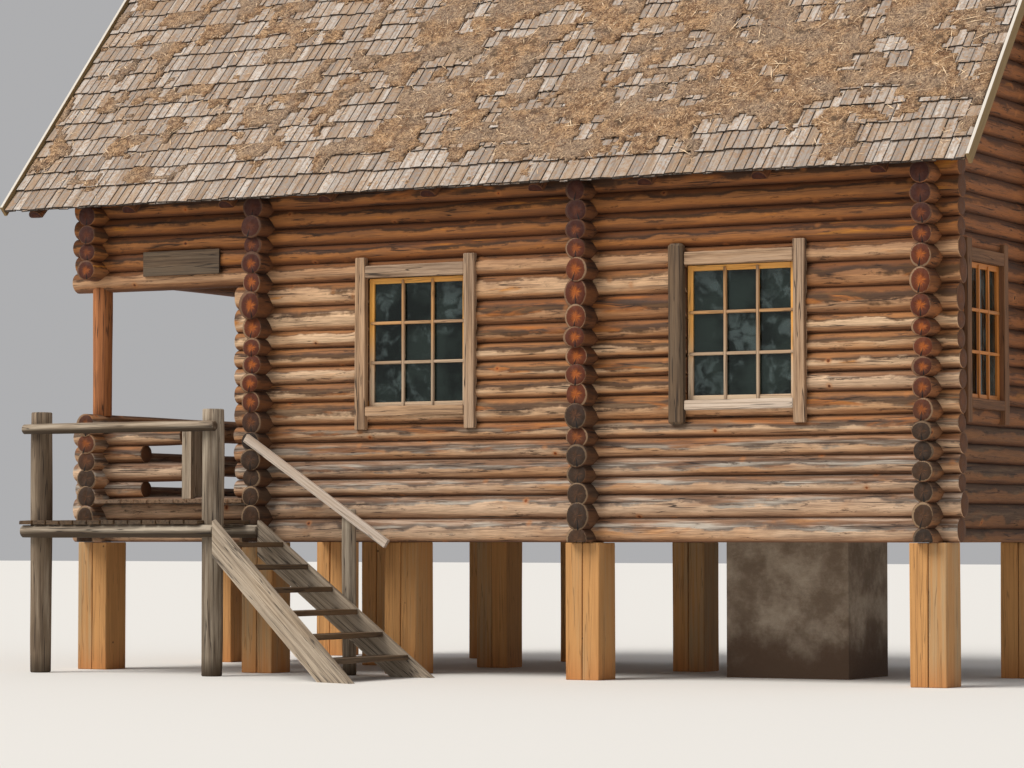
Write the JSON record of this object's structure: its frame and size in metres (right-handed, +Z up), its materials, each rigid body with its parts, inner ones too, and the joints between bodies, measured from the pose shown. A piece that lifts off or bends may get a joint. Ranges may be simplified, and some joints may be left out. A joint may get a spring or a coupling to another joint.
{
  "type": "log cabin",
  "caption": "Round-log cabin on squared timber piers, with a steep shingle roof, small-paned windows, a roofed porch, a landing and an open stair.",
  "frame": {"origin": "the centre of the bounding box in plan, on the ground under the piers", "axes": "+X runs along the front wall to the right gable, +Y runs from the front wall to the back wall, +Z is up"},
  "size_m": [9.82, 6.4786, 7.239],
  "materials": {
    "log_wood": "weathered round logs, grey above and orange-brown below",
    "sawn_wood": "weathered grey sawn boards",
    "pier_wood": "tan sawn timber",
    "window_wood": "oiled yellow-orange wood",
    "shingle_roof": "grey split shingles with needle litter",
    "masonry": "stained rendered masonry",
    "glass": "dark reflecting window glass"
  },
  "bodies": {
    "root": {"back_barge_boards": "sawn_wood", "back_piers": "pier_wood", "back_rafters": "log_wood", "back_roof_slope": "shingle_roof", "back_wall_logs": "log_wood", "back_window_casings": "sawn_wood", "back_window_frames": "window_wood", "back_window_glass": "glass", "entrance_door": "sawn_wood", "entrance_door_frame": "log_wood", "floor_joists": "sawn_wood", "front_barge_boards": "sawn_wood", "front_piers": "pier_wood", "front_rafters": "log_wood", "front_roof_slope": "shingle_roof", "front_wall_logs": "log_wood", "front_window_casings": "sawn_wood", "front_window_frames": "window_wood", "front_window_glass": "glass", "gable_window_casings": "sawn_wood", "gable_window_frames": "window_wood", "gable_window_glass": "glass", "landing_beams": "log_wood", "landing_boards": "sawn_wood", "landing_posts": "log_wood", "landing_rail": "log_wood", "left_room_floor": "sawn_wood", "middle_floor_beams": "sawn_wood", "middle_piers": "pier_wood", "partition_door_frame": "log_wood", "partition_logs": "log_wood", "porch_back_stub_logs": "log_wood", "porch_corner_posts": "log_wood", "porch_end_parapet": "log_wood", "porch_end_sill_logs": "log_wood", "porch_entry_post": "sawn_wood", "porch_floor": "sawn_wood", "porch_front_rail_logs": "log_wood", "porch_front_stub_logs": "log_wood", "porch_gable_logs": "log_wood", "porch_wall_logs": "log_wood", "ridge_beam": "log_wood", "ridge_boards": "sawn_wood", "right_gable_logs": "log_wood", "right_gable_stub_logs": "log_wood", "right_room_floor": "sawn_wood", "side_floor_beams": "sawn_wood", "sign_board": "sawn_wood", "stair_handrail": "sawn_wood", "stair_newel": "log_wood", "stair_stringers": "sawn_wood", "stair_treads": "sawn_wood", "stove_foundation": "masonry"}
  },
  "joints": []
}
